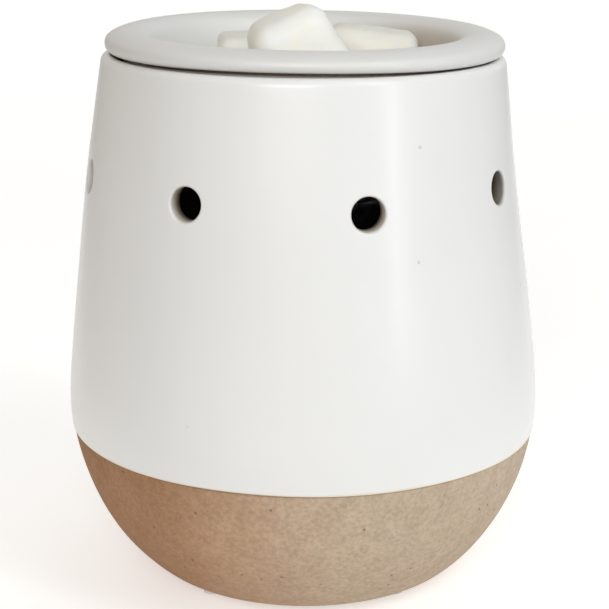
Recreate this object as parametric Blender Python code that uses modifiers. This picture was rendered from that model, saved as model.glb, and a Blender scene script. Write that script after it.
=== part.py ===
"""Fragrance wax warmer pot: a one-piece stoneware pot with a ring of vents, a lift-off ceramic dish
that holds wax melts, and a reflector lamp that warms the dish from below. Metres, +Z up, front is -Y.
"""

from math import cos, hypot, pi, radians, sin

import bmesh
import bpy
from mathutils import Matrix, Vector

MM = 0.001
GAP = 0.3

# Millimetres from here on; heights start from a level FOOT above the table.
FOOT = 1.1
FOOT_RING = 0.9
PAD_HEIGHT = FOOT + FOOT_RING - GAP

# Pot
BODY_HEIGHT = 132.9
BELLY_RADIUS = 60.0
BELLY_HEIGHT = 44.3
BELLY_DROP = 50.95
MOUTH_RADIUS = 49.7
SHOULDER_BLEND = 0.12
WALL = 4.2
FLOOR_UNDER = 8.0
FLOOR_TOP = 13.0
FLOOR_OPENING = 20.0
FOOT_INNER = 29.5
VENT_COUNT = 8
VENT_RADIUS = 4.3
VENT_HEIGHT = 104.0
VENT_TURN = -74.0
ROUND_SEGMENTS = 48

# Dish
DISH_RADIUS = 49.0
DISH_EDGE = 136.0
DISH_SEAT = BODY_HEIGHT + GAP
BOWL_FLOOR = 121.5

# Base closure and lamp stack
PLATE_UNDER = 6.5
PLATE_THICK = 1.2
CLAMP_X = 17.8
GROMMET_Y = 11.0
BRACKET_TOP = 31.0
BRACKET_THICK = 1.2
BRACKET_WIDTH = 16.0
HOLDER_RADIUS = 12.5
HOLDER_TOP = 53.0
HOLDER_SCREW_X = 9.3
PIN_RADIUS = 5.0
TWIST = 20.0
TERMINAL_X = 3.6
TERMINAL_Z = 17.6

COLLECTION = bpy.data.collections.new("wax_warmer_pot")
CUTTERS = bpy.data.collections.new("cutters")


def clear_scene():
    for item in list(bpy.data.objects):
        bpy.data.objects.remove(item, do_unlink=True)
    for collection in (COLLECTION, CUTTERS):
        bpy.context.scene.collection.children.link(collection)


def surface(name, colour, roughness, metallic=0.0, alpha=1.0):
    material = bpy.data.materials.new(name)
    material.use_nodes = True
    shader = material.node_tree.nodes["Principled BSDF"]
    shader.inputs["Base Color"].default_value = (*colour, 1.0)
    shader.inputs["Roughness"].default_value = roughness
    shader.inputs["Metallic"].default_value = metallic
    shader.inputs["Alpha"].default_value = alpha
    material.diffuse_color = (*colour, alpha)
    return material


def place(name, mesh, material, smooth=True):
    """Link a mesh as one named sub-part."""
    if not mesh.materials:
        mesh.materials.append(material)
    if smooth:
        mesh.shade_smooth()
        mesh.set_sharp_from_angle(angle=radians(40))
    item = bpy.data.objects.new(name, mesh)
    COLLECTION.objects.link(item)
    return item


def turned(name, points, material, segments, closed=False, at=(0.0, 0.0)):
    """Solid of revolution about a vertical axis through at; points are (radius, height) in mm."""
    count = len(points)
    edges = [(i, i + 1) for i in range(count - 1)]
    if closed:
        edges.append((count - 1, 0))
    mesh = bpy.data.meshes.new(name)
    mesh.from_pydata([(r * MM, 0.0, (h + FOOT) * MM) for r, h in points], edges, [])
    mesh.materials.append(material)
    item = bpy.data.objects.new(name, mesh)
    item.location = (at[0] * MM, at[1] * MM, 0.0)
    COLLECTION.objects.link(item)
    turn = item.modifiers.new("turn", "SCREW")
    turn.angle = 2 * pi
    turn.steps = segments
    turn.render_steps = segments
    turn.use_merge_vertices = True
    turn.merge_threshold = 0.00001
    turn.use_normal_calculate = False
    turn.use_smooth_shade = True
    return item


def curve_to_mesh(name, curve):
    """Mesh of a curve datablock, with its seams welded."""
    holder = bpy.data.objects.new(name + "_curve", curve)
    COLLECTION.objects.link(holder)
    bpy.context.view_layer.update()
    evaluated = holder.evaluated_get(bpy.context.evaluated_depsgraph_get())
    mesh = bpy.data.meshes.new_from_object(evaluated)
    mesh.name = name
    bpy.data.objects.remove(holder, do_unlink=True)
    work = bmesh.new()
    work.from_mesh(mesh)
    bmesh.ops.remove_doubles(work, verts=work.verts, dist=0.000005)
    bmesh.ops.recalc_face_normals(work, faces=work.faces)
    work.to_mesh(mesh)
    work.free()
    return mesh


def slab_mesh(name, outlines, low, high):
    """Flat outlines (outer first, then holes) extruded from low to high along Z, all in mm."""
    curve = bpy.data.curves.new(name, "CURVE")
    curve.dimensions = "2D"
    curve.fill_mode = "BOTH"
    curve.extrude = (high - low) / 2 * MM
    for outline in outlines:
        spline = curve.splines.new("POLY")
        spline.points.add(len(outline) - 1)
        for point, (x, y) in zip(spline.points, outline):
            point.co = (x * MM, y * MM, 0.0, 1.0)
        spline.use_cyclic_u = True
    mesh = curve_to_mesh(name, curve)
    mesh.materials.clear()
    mesh.transform(Matrix.Translation((0.0, 0.0, (low + high) / 2 * MM)))
    return mesh


def circle(radius, x=0.0, y=0.0, count=24, start=0.0):
    return [
        (x + radius * cos(start + 2 * pi * i / count), y + radius * sin(start + 2 * pi * i / count))
        for i in range(count)
    ]


def arc_band(inner, outer, first, last, count=10):
    """Outline of a ring sector between two angles in degrees."""
    angles = [radians(first + (last - first) * i / count) for i in range(count + 1)]
    out = [(outer * cos(a), outer * sin(a)) for a in angles]
    back = [(inner * cos(a), inner * sin(a)) for a in reversed(angles)]
    return out + back


def upright(mesh):
    """Turn a slab whose outline was drawn as (x, height) so that it stands in the XZ plane."""
    mesh.transform(Matrix.Rotation(pi / 2, 4, "X"))
    return mesh


def raised(mesh):
    """Shift a mesh drawn from the pot's foot up to its height above the table."""
    mesh.transform(Matrix.Translation((0.0, 0.0, FOOT * MM)))
    return mesh


def cut(item, name, meshes):
    """Cut item with every mesh in meshes, each its own cutter."""
    for index, mesh in enumerate(meshes):
        tool = bpy.data.objects.new(f"{name}_{index}", mesh)
        tool.hide_render = True
        tool.display_type = "WIRE"
        CUTTERS.objects.link(tool)
        boolean = item.modifiers.new(f"{name}_{index}", "BOOLEAN")
        boolean.operation = "DIFFERENCE"
        boolean.solver = "EXACT"
        boolean.object = tool


def box_mesh(name, low, high):
    """Axis-aligned box between two corners in mm."""
    mesh = bpy.data.meshes.new(name)
    work = bmesh.new()
    size = [(b - a) * MM for a, b in zip(low, high)]
    centre = [(a + b) / 2 * MM for a, b in zip(low, high)]
    bmesh.ops.create_cube(work, size=1.0, matrix=Matrix.Translation(centre) @ Matrix.Diagonal((*size, 1.0)))
    work.to_mesh(mesh)
    work.free()
    return mesh


def rod_mesh(name, radius, length, matrix, sides=16):
    """Cylinder about its own Z axis, placed by matrix; radius and length in mm."""
    mesh = bpy.data.meshes.new(name)
    work = bmesh.new()
    bmesh.ops.create_cone(
        work, cap_ends=True, segments=sides, radius1=radius * MM, radius2=radius * MM,
        depth=length * MM, matrix=matrix,
    )
    work.to_mesh(mesh)
    work.free()
    return mesh


def wire(name, points, radius, material, sides=1):
    """Round wire through points in mm, its ends closed."""
    curve = bpy.data.curves.new(name, "CURVE")
    curve.dimensions = "3D"
    curve.bevel_depth = radius * MM
    curve.bevel_resolution = sides
    curve.use_fill_caps = True
    spline = curve.splines.new("POLY")
    spline.points.add(len(points) - 1)
    for point, (x, y, h) in zip(spline.points, points):
        point.co = (x * MM, y * MM, (h + FOOT) * MM, 1.0)
    mesh = curve_to_mesh(name, curve)
    mesh.materials.clear()
    return place(name, mesh, material)


def outer_radius(height):
    """Outside radius of the pot: a full belly low down, then a nearly straight taper to the mouth."""
    if height < BELLY_HEIGHT:
        drop = (BELLY_HEIGHT - height) / BELLY_DROP
        return BELLY_RADIUS * (1.0 - drop**1.715) ** 0.328
    rise = (height - BELLY_HEIGHT) / (BODY_HEIGHT - BELLY_HEIGHT)
    share = (hypot(rise, SHOULDER_BLEND) - SHOULDER_BLEND) / (hypot(1.0, SHOULDER_BLEND) - SHOULDER_BLEND)
    return BELLY_RADIUS - (BELLY_RADIUS - MOUTH_RADIUS) * share


def pot(material):
    outer = [(r, BODY_HEIGHT - d) for r, d in ((47.7, 0.0), (48.7, 0.25), (49.35, 0.85), (49.75, 1.8))]
    outer += [
        (outer_radius(h), h)
        for h in (129.0, 120.0, 108.0, 94.0, 80.0, 66.0, 54.0, 44.3, 36.0, 28.5, 21.5, 15.5, 10.5, 6.2, 2.8)
    ]
    foot = [(r, FOOT_RING + rise) for r, rise in ((38.4, 1.0), (36.6, 0.2), (35.4, 0.0), (30.3, 0.0))]
    foot += [(FOOT_INNER, FOOT_RING + 0.8), (FOOT_INNER, FLOOR_UNDER)]
    floor = [(FLOOR_OPENING, FLOOR_UNDER), (FLOOR_OPENING, FLOOR_TOP)]
    floor += [(38.0, 13.1), (43.0, 14.4), (46.6, 17.4)]
    inner = [
        (outer_radius(h) - WALL, h)
        for h in (22.5, 29.0, 36.5, 46.0, 58.0, 72.0, 88.0, 104.0, 120.0, 130.0)
    ]
    lip = [(45.75, 131.6), (46.0, 132.3), (46.7, 132.75)]
    item = turned("ceramic_body", outer + foot + floor + inner + lip, material, ROUND_SEGMENTS, closed=True)
    vents = []
    for index in range(VENT_COUNT):
        bearing = radians(VENT_TURN + index * 360.0 / VENT_COUNT)
        aim = Matrix.Rotation(bearing - pi / 2, 4, "Z") @ Matrix.Rotation(pi / 2, 4, "Y")
        middle = aim @ Vector((0.0, 0.0, 51.3 * MM))
        middle.z = (VENT_HEIGHT + FOOT) * MM
        vents.append(rod_mesh("vent", VENT_RADIUS, 16.0, Matrix.Translation(middle) @ aim))
    notch = box_mesh("cord_notch", (-4.5, 25.0, -2.0), (4.5, 52.0, FOOT + 7.0))
    cut(item, "pot_cut", vents + [notch])


def foot_pads(material):
    names = ("back_right", "back_left", "front_left", "front_right")
    for index, name in enumerate(names):
        bearing = radians(45.0 + 90.0 * index)
        points = [(0.0, 0.0), (2.0, 0.0), (2.2, -0.2), (2.2, -PAD_HEIGHT), (0.0, -PAD_HEIGHT)]
        turned(
            "foot_pad_" + name, [(r, h + FOOT_RING - GAP) for r, h in points], material, 16,
            at=(32.6 * cos(bearing), 32.6 * sin(bearing)),
        )


def dish(material):
    top = [(0.0, BOWL_FLOOR), (15.0, BOWL_FLOOR), (28.0, 121.6), (31.6, 122.5), (34.4, 124.8), (35.9, 128.2)]
    top += [(36.5, 132.5), (37.2, 135.8), (38.5, 137.6), (40.3, 138.4), (42.5, 138.6), (45.2, 138.35)]
    edge = [(47.6, 137.7), (48.7, 136.9), (DISH_RADIUS, DISH_EDGE), (48.9, 135.2), (48.4, 134.5)]
    edge += [(47.6, 134.0)]
    under = [(46.4, 133.5), (45.9, DISH_SEAT), (44.9, DISH_SEAT), (44.7, 132.6), (44.4, 129.6), (43.8, 129.0)]
    under += [(42.0, 129.0), (40.2, 130.6)]
    bowl = [(39.6, 127.0), (37.7, 122.4), (34.6, 119.4), (30.6, 118.0), (15.0, 117.6), (0.0, 117.5)]
    turned("wax_dish", (top + edge + under + bowl), material, ROUND_SEGMENTS)


def melt(name, size, taper, rounding, centre, tilt, turn, material):
    """Moulded wax block: size of its top in mm, its underside scaled by taper in x and y, corners rounded."""
    work = bmesh.new()
    bmesh.ops.create_cube(work, size=1.0)
    for corner in work.verts:
        scale = taper if corner.co.z < 0 else (1.0, 1.0)
        corner.co = Vector(
            (corner.co.x * size[0] * scale[0], corner.co.y * size[1] * scale[1], corner.co.z * size[2])
        ) * MM
    mesh = bpy.data.meshes.new(name)
    work.to_mesh(mesh)
    work.free()
    item = place(name, mesh, material, smooth=False)
    item.location = (centre[0] * MM, centre[1] * MM, (centre[2] + FOOT) * MM)
    item.rotation_euler = (0.0, radians(tilt), radians(turn))
    bevel = item.modifiers.new("rounding", "BEVEL")
    bevel.width = rounding * MM
    bevel.segments = 3
    bevel.limit_method = "NONE"
    bevel.harden_normals = False


def melts(material):
    melt("wax_melt_centre", (17.8, 17.6, 19.0), (1.42, 1.09), 4.2, (-1.8, -11.3, 135.1), -22.8, 12, material)
    melt("wax_melt_right", (24.8, 18.6, 14.7), (0.8, 0.78), 3.2, (16.8, 11.1, 129.95), 6.2, -4.2, material)
    melt("wax_melt_left", (20.3, 19.0, 13.9), (0.88, 0.88), 2.8, (-11.3, 11.5, 128.9), 0.8, 5.7, material)


def screw(name, x, y, head_low, shank_top, head_radius, shank_radius, material):
    """Pan-head screw driven upward: its head below, a drive slot across it."""
    head_top = head_low + 1.9
    points = [
        (0.0, shank_top), (shank_radius - 0.4, shank_top), (shank_radius, shank_top - 0.6),
        (shank_radius, head_top), (head_radius, head_top), (head_radius, head_low + 0.7),
        (head_radius - 0.9, head_low), (0.0, head_low),
    ]
    item = turned(name, points, material, 14, at=(x, y))
    slot = box_mesh(
        name + "_slot", (x - 0.45, y - head_radius - 1.0, head_low + FOOT - 1.0),
        (x + 0.45, y + head_radius + 1.0, head_low + FOOT + 0.9),
    )
    slot.transform(Matrix.Translation((-x * MM, -y * MM, 0.0)))
    cut(item, name + "_slot", [slot])
    CUTTERS.objects[name + "_slot_0"].location = (x * MM, y * MM, 0.0)


def base_closure(steel, zinc, rubber):
    outlines = [circle(27.5, count=36), circle(4.6, y=GROMMET_Y, count=16)]
    outlines += [circle(1.9, x=side * CLAMP_X, count=12) for side in (-1, 1)]
    plate = slab_mesh("base_plate", outlines, PLATE_UNDER, PLATE_UNDER + PLATE_THICK)
    place("base_plate", raised(plate), steel)
    low = PLATE_UNDER - GAP
    high = PLATE_UNDER + PLATE_THICK + GAP
    ring = [
        (5.4, high + 1.8), (6.2, high + 1.2), (6.2, high), (4.3, high), (4.3, low), (6.2, low),
        (6.2, low - 1.2), (5.4, low - 1.8), (3.2, low - 1.8), (3.2, high + 1.8),
    ]
    turned("cord_grommet", ring, rubber, 18, closed=True, at=(0.0, GROMMET_Y))
    for side, name in ((-1, "left"), (1, "right")):
        screw("base_screw_" + name, side * CLAMP_X, 0.0, low - 1.9, 18.0, 3.0, 1.5, zinc)
        nut = slab_mesh(
            "base_nut_" + name,
            [circle(3.0, side * CLAMP_X, 0.0, 6), circle(1.8, side * CLAMP_X, 0.0, 12)], 14.8, 17.2,
        )
        place("base_nut_" + name, raised(nut), zinc, smooth=False)


def bracket(steel, zinc):
    """Top-hat strap across the floor opening; it carries the lamp holder."""
    top = BRACKET_TOP
    foot = FLOOR_TOP + GAP
    leg = 13.6
    thick = BRACKET_THICK
    half = [(27.0, foot), (27.0, foot + thick), (leg, foot + thick), (leg, top)]
    under = [(leg - thick, top - thick), (leg - thick, foot)]
    outline = half + [(-x, h) for x, h in reversed(half)] + [(-x, h) for x, h in reversed(under)] + under
    mesh = upright(slab_mesh("lamp_bracket", [outline], -BRACKET_WIDTH / 2, BRACKET_WIDTH / 2))
    item = place("lamp_bracket", raised(mesh), steel, smooth=False)
    holes = [box_mesh("lead_slot", (-6.5, -2.6, 25.0 + FOOT), (6.5, 2.6, 36.0 + FOOT))]
    for side in (-1, 1):
        foot_hole = Matrix.Translation((side * CLAMP_X * MM, 0.0, (foot + FOOT) * MM))
        top_hole = Matrix.Translation((side * HOLDER_SCREW_X * MM, 0.0, (top + FOOT) * MM))
        holes.append(rod_mesh("foot_hole", 1.9, 8.0, foot_hole, 12))
        holes.append(rod_mesh("top_hole", 1.7, 8.0, top_hole, 12))
    cut(item, "bracket_cut", holes)
    for side, name in ((-1, "left"), (1, "right")):
        low = top - thick - GAP - 1.9
        screw("holder_screw_" + name, side * HOLDER_SCREW_X, 0.0, low, top + 7.0, 2.4, 1.3, zinc)


def holder(ceramic):
    """Twist-lock lamp holder with two arc slots over two contact chambers."""
    low = BRACKET_TOP + GAP
    top = HOLDER_TOP
    r = HOLDER_RADIUS
    points = [(0.0, top), (r - 1.0, top), (r, top - 1.0), (r, low + 0.8), (r - 0.8, low), (0.0, low)]
    item = turned("lamp_holder", points, ceramic, 32)
    tools = []
    for side, base in ((1, 0.0), (-1, 180.0)):
        turn = radians(base + TWIST)
        chamber = arc_band(2.0, 8.0, base - 35.0, base + TWIST + 36.0, 12)
        neck = arc_band(3.2, 6.8, base - 21.0, base + TWIST + 20.0, 8)
        entry = circle(2.95, PIN_RADIUS * cos(turn), PIN_RADIUS * sin(turn), 20)
        tools.append(raised(slab_mesh("chamber", [chamber], 41.0, top - 2.5)))
        tools.append(raised(slab_mesh("neck", [neck], top - 4.0, top + 2.0)))
        tools.append(raised(slab_mesh("entry", [entry], top - 4.5, top + 2.2)))
        near, far = sorted((side * 4.0, side * 6.0))
        tools.append(box_mesh("tail_slot", (near, -2.1, low + FOOT - 2.0), (far, 2.1, 42.5 + FOOT)))
        hole = Matrix.Translation((side * HOLDER_SCREW_X * MM, 0.0, (low + 3.0 + FOOT) * MM))
        tools.append(rod_mesh("screw_hole", 1.6, 10.6, hole, 12))
    cut(item, "holder_cut", tools)


def contacts(brass):
    """Brass leaf under each lamp pin, with a tail down through the holder."""
    leaf_top = HOLDER_TOP - 6.1
    for side, name in ((-1, "left"), (1, "right")):
        outline = [
            (4.7, 26.5), (5.3, 26.5), (5.3, leaf_top - 0.6), (7.4, leaf_top - 0.6),
            (7.4, leaf_top), (2.6, leaf_top), (2.6, leaf_top - 0.6), (4.7, leaf_top - 0.6),
        ]
        mesh = slab_mesh("contact_" + name, [[(side * x, h) for x, h in outline]], -1.5, 1.5)
        place("contact_" + name, raised(upright(mesh)), brass, smooth=False)


def terminals(plastic, brass, zinc, insulation):
    item = place(
        "terminal_block", box_mesh("terminal_block", (-8.0, 21.5, 13.3 + FOOT), (8.0, 32.5, 22.6 + FOOT)),
        plastic, smooth=False,
    )
    tools = []
    for side, name in ((-1, "left"), (1, "right")):
        x = side * TERMINAL_X
        along = Matrix.Translation((x * MM, 27.0 * MM, (TERMINAL_Z + FOOT) * MM))
        along = along @ Matrix.Rotation(pi / 2, 4, "X")
        down = Matrix.Translation((x * MM, 27.0 * MM, (21.0 + FOOT) * MM))
        tools.append(rod_mesh("bore", 2.4, 16.0, along, 14))
        tools.append(rod_mesh("screw_well", 1.7, 6.0, down, 12))
        outlines = [circle(2.1, x, TERMINAL_Z, 14), circle(1.45, x, TERMINAL_Z, 12)]
        barrel = upright(slab_mesh("terminal_barrel_" + name, outlines, -32.0, -22.0))
        place("terminal_barrel_" + name, raised(barrel), brass)
        points = [(0.0, 22.2), (1.1, 22.2), (1.4, 21.9), (1.4, 20.0), (0.0, 20.0)]
        turned("terminal_screw_" + name, points, zinc, 14, at=(x, 27.0))
        path = [(side * 5.0, 0.0, 26.2), (side * 5.0, 0.4, 23.6), (side * 4.9, 2.4, 20.8)]
        path += [(side * 4.7, 6.0, 18.8), (side * 4.3, 11.0, 17.8), (side * 3.8, 17.0, TERMINAL_Z)]
        path += [(x, 20.5, TERMINAL_Z), (x, 25.0, TERMINAL_Z)]
        wire("lead_" + name, path, 0.9, insulation)
    cut(item, "terminal_cut", tools)


def bulb(glass, mirror, ceramic, metal):
    """Reflector lamp with a two-pin twist-lock base; it turns about the empty on its axis."""
    points = [(0.0, 66.0), (9.4, 66.0), (10.6, 65.0), (11.4, 58.6), (9.7, 57.0), (9.7, 53.3), (0.0, 53.3)]
    pieces = [turned("bulb_base", points, ceramic, 24)]
    shank = [(0.0, 53.0), (1.4, 53.0), (1.4, 50.2)]
    head = [(2.2, 50.2), (2.5, 49.9), (2.5, 47.5), (2.2, 47.2), (0.0, 47.2)]
    for side, name in ((-1, "left"), (1, "right")):
        pieces.append(turned("bulb_pin_" + name, shank + head, metal, 16, at=(side * PIN_RADIUS, 0.0)))
    outer = [(25.0, 99.4), (25.0, 97.6), (24.2, 93.6), (22.2, 87.0), (18.8, 79.3), (14.6, 72.6), (11.4, 68.4)]
    neck = [(10.4, 66.3), (5.6, 66.3), (5.6, 67.6)]
    inner = [(9.6, 68.8), (13.4, 73.8), (17.4, 80.4), (20.7, 88.0), (22.4, 94.2), (22.7, 97.3)]
    inner += [(23.7, 97.3), (23.7, 99.4)]
    pieces.append(turned("bulb_reflector", outer + neck + inner, mirror, 28, closed=True))
    points = [(0.0, 99.9), (12.0, 99.7), (21.0, 99.1), (23.3, 98.8), (23.3, 97.6), (0.0, 97.6)]
    pieces.append(turned("bulb_lens", points, glass, 28))
    points = [(0.0, 82.0), (2.2, 81.5), (3.7, 80.2), (4.2, 78.2), (4.2, 66.3)]
    points += [(3.5, 66.3), (3.5, 78.0), (3.0, 79.7), (1.8, 80.8), (0.0, 81.2)]
    pieces.append(turned("bulb_capsule", points, glass, 18))
    path = [(-1.9, 0.0, 66.4), (-1.9, 0.0, 71.4), (-1.9, 0.0, 74.0)]
    for step in range(25):
        angle = 2 * pi * step / 6
        path.append((-1.6 + 3.2 * step / 24, 0.8 * sin(angle), 74.2 + 0.8 * cos(angle)))
    path += [(1.9, 0.0, 74.0), (1.9, 0.0, 71.4), (1.9, 0.0, 66.4)]
    pieces.append(wire("bulb_filament", path, 0.18, metal, 0))
    axis = bpy.data.objects.new("bulb_axis", None)
    axis.location = (0.0, 0.0, (HOLDER_TOP + FOOT) * MM)
    COLLECTION.objects.link(axis)
    for piece in pieces:
        piece.parent = axis
        piece.matrix_parent_inverse = Matrix.Translation(-axis.location)


def build():
    clear_scene()
    glaze = surface("white_glaze", (0.83, 0.82, 0.80), 0.35)
    wax = surface("cream_wax", (0.88, 0.86, 0.78), 0.45)
    steel = surface("painted_steel", (0.05, 0.05, 0.05), 0.5)
    zinc = surface("zinc_plate", (0.62, 0.62, 0.60), 0.35, 1.0)
    brass = surface("brass", (0.72, 0.53, 0.24), 0.35, 1.0)
    silicone = surface("clear_silicone", (0.78, 0.78, 0.76), 0.55)
    rubber = surface("black_rubber", (0.03, 0.03, 0.03), 0.7)
    steatite = surface("steatite", (0.80, 0.77, 0.70), 0.6)
    nylon = surface("terminal_nylon", (0.78, 0.76, 0.70), 0.45)
    insulation = surface("lead_sleeve", (0.70, 0.66, 0.55), 0.6)
    glass = surface("lamp_glass", (0.92, 0.94, 0.95), 0.08, alpha=0.4)
    mirror = surface("lamp_mirror", (0.78, 0.78, 0.80), 0.12, 1.0)
    nickel = surface("nickel", (0.66, 0.63, 0.58), 0.3, 1.0)
    pot(glaze)
    foot_pads(silicone)
    dish(glaze)
    melts(wax)
    base_closure(steel, zinc, rubber)
    bracket(steel, zinc)
    holder(steatite)
    contacts(brass)
    terminals(nylon, brass, zinc, insulation)
    bulb(glass, mirror, steatite, nickel)


build()
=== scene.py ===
"""Looks of the wax warmer pot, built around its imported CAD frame. Metres, +Z up, front is -Y."""

from math import cos, hypot, pi, radians, sin, sqrt

import bmesh
import bpy
from mathutils import Matrix, Vector, noise


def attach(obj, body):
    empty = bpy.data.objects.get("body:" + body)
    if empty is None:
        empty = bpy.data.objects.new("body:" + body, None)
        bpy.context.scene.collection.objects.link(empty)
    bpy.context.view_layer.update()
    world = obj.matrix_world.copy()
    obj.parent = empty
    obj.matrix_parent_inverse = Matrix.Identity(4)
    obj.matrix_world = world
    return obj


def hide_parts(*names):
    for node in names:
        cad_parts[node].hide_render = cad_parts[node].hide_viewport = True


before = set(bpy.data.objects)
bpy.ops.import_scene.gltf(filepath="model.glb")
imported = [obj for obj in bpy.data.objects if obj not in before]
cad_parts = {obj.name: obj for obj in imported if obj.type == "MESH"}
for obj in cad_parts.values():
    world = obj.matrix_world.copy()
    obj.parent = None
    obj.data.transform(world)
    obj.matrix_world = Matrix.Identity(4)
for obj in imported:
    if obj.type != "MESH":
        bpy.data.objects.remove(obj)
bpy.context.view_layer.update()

MM = 0.001
FOOT = 1.1                  # height of the pot's foot above the table, mm

# Pot, in mm above its foot
BODY_HEIGHT = 132.9
BELLY_RADIUS = 60.0
BELLY_HEIGHT = 44.3
BELLY_DROP = 50.95
MOUTH_RADIUS = 49.7
SHOULDER_BLEND = 0.12
WALL = 4.2
GLAZE_LINE = 39.1
GLAZE_THICK = 0.28
SLOPE = -0.0092             # tilt of the mouth, glaze line and vents across the pot
VENTS = (                   # bearing from +X in degrees, height
    (-73.5, 103.4), (-28.3, 104.4), (16.6, 104.1), (61.5, 104.3), (106.0, 104.0), (151.0, 104.2),
    (195.5, 104.2), (240.6, 104.3),
)
LEAN = (                    # sideways drift of the hand-thrown wall, by height
    (0.0, 0.75), (6.0, 0.55), (12.0, 0.3), (20.0, 0.15), (32.0, 0.05), (40.0, 0.0), (60.0, 0.0),
    (76.0, -0.12), (88.0, -0.32), (100.0, -0.45), (110.0, -0.38), (120.0, -0.12), (128.0, 0.1), (134.0, 0.2),
)
VENT_RADIUS = 4.0
VENT_EDGE = 0.6
VENT_HEIGHT = 104.2         # mid height of the rows of cells that hold the vents
INNER_EDGE = 0.5            # rounding of a vent's inner end
WALL_TAPER = 0.131          # how far the wall leans in for each mm of height at the vents
VENT_DRIFT = 0.0004         # the wall's sideways drift at the vents, in metres
DISH_SLOPE = -0.0107        # the loose dish sits a little askew
DISH_SHIFT = 0.5
DISH_CURL = 0.3             # the dish's lower edge curls up at its front and back
DISH_SAG = 1.25             # and hangs down at its sides
LIP_RISE = 0.45             # the pot's lip is higher at its front and back than at its sides
PATCH = 8.0                 # half size of the wall patch around a vent
PATCH_CELLS = 8
PLAIN_CELLS = 12            # wall columns between two patches


# ---------------------------------------------------------------- helpers

def new_object(name, mesh, material=None, smooth=True):
    if material is not None:
        mesh.materials.append(material)
    if smooth:
        mesh.shade_smooth()
    item = bpy.data.objects.new(name, mesh)
    bpy.context.scene.collection.objects.link(item)
    return item


def mesh_from(name, points, faces):
    mesh = bpy.data.meshes.new(name)
    mesh.from_pydata(points, [], faces)
    mesh.validate()
    return mesh


def outer_radius(height):
    if height < BELLY_HEIGHT:
        drop = (BELLY_HEIGHT - height) / BELLY_DROP
        return BELLY_RADIUS * (1.0 - drop**1.715) ** 0.328
    rise = (height - BELLY_HEIGHT) / (BODY_HEIGHT - BELLY_HEIGHT)
    share = (hypot(rise, SHOULDER_BLEND) - SHOULDER_BLEND) / (hypot(1.0, SHOULDER_BLEND) - SHOULDER_BLEND)
    return BELLY_RADIUS - (BELLY_RADIUS - MOUTH_RADIUS) * share


def apply_modifiers(item):
    """Bake an object's modifiers into its mesh."""
    bpy.context.view_layer.update()
    evaluated = item.evaluated_get(bpy.context.evaluated_depsgraph_get())
    mesh = bpy.data.meshes.new_from_object(evaluated)
    item.modifiers.clear()
    item.data = mesh
    return item


# ---------------------------------------------------------------- node materials

class Nodes:
    """Small helper that adds and links shader nodes of one material."""

    def __init__(self, name, roughness=0.5, **constants):
        self.material = bpy.data.materials.new(name)
        self.material.use_nodes = True
        self.tree = self.material.node_tree
        self.shader = self.tree.nodes["Principled BSDF"]
        self.shader.inputs["Roughness"].default_value = roughness
        for key, value in constants.items():
            self.shader.inputs[key.replace("_", " ")].default_value = value
        self.place = self.tree.nodes.new("ShaderNodeTexCoord").outputs["Object"]

    def add(self, kind, **settings):
        node = self.tree.nodes.new(kind)
        for key, value in settings.items():
            setattr(node, key, value)
        return node

    def feed(self, socket, value):
        if isinstance(value, bpy.types.NodeSocket):
            self.tree.links.new(value, socket)
        else:
            socket.default_value = value

    def noise(self, scale, detail=2.0, rough=0.5, place=None):
        node = self.add("ShaderNodeTexNoise")
        self.feed(node.inputs["Vector"], place or self.place)
        node.inputs["Scale"].default_value = scale
        node.inputs["Detail"].default_value = detail
        node.inputs["Roughness"].default_value = rough
        return node.outputs["Fac"]

    def cells(self, scale, place=None):
        node = self.add("ShaderNodeTexVoronoi")
        self.feed(node.inputs["Vector"], place or self.place)
        node.inputs["Scale"].default_value = scale
        return node

    def math(self, operation, a, b=0.0, clamp=False):
        node = self.add("ShaderNodeMath", operation=operation, use_clamp=clamp)
        self.feed(node.inputs[0], a)
        self.feed(node.inputs[1], b)
        return node.outputs[0]

    def span(self, value, low, high, to_low=0.0, to_high=1.0, smooth=True):
        node = self.add("ShaderNodeMapRange", interpolation_type="SMOOTHSTEP" if smooth else "LINEAR")
        self.feed(node.inputs["Value"], value)
        node.inputs["From Min"].default_value = low
        node.inputs["From Max"].default_value = high
        node.inputs["To Min"].default_value = to_low
        node.inputs["To Max"].default_value = to_high
        return node.outputs["Result"]

    def mix(self, share, a, b, blend="MIX"):
        node = self.add("ShaderNodeMix", data_type="RGBA", blend_type=blend)
        self.feed(node.inputs["Factor"], share)
        self.feed(node.inputs["A"], colour(a) if isinstance(a, tuple) else a)
        self.feed(node.inputs["B"], colour(b) if isinstance(b, tuple) else b)
        return node.outputs["Result"]

    def axis(self, letter, place=None):
        node = self.add("ShaderNodeSeparateXYZ")
        self.feed(node.inputs[0], place or self.place)
        return node.outputs[letter]

    def radius(self, shift=0.0):
        """Distance from the pot's axis, moved along X by shift."""
        node = self.add("ShaderNodeVectorMath", operation="LENGTH")
        self.feed(node.inputs[0], self.stretched((1.0, 1.0, 0.0), (-shift, 0.0, 0.0)))
        return node.outputs["Value"]

    def stretched(self, scale, shift=(0.0, 0.0, 0.0)):
        node = self.add("ShaderNodeMapping")
        self.feed(node.inputs["Vector"], self.place)
        node.inputs["Location"].default_value = shift
        node.inputs["Scale"].default_value = scale
        return node.outputs[0]

    def bump(self, height, strength, distance, below=None):
        node = self.add("ShaderNodeBump")
        node.inputs["Strength"].default_value = strength
        node.inputs["Distance"].default_value = distance
        self.feed(node.inputs["Height"], height)
        if below is not None:
            self.feed(node.inputs["Normal"], below)
        return node.outputs[0]

    def finish(self, base=None, rough=None, normal=None):
        if base is not None:
            self.feed(self.shader.inputs["Base Color"], colour(base) if isinstance(base, tuple) else base)
        if rough is not None:
            self.feed(self.shader.inputs["Roughness"], rough)
        if normal is not None:
            self.feed(self.shader.inputs["Normal"], normal)
        return self.material


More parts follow.
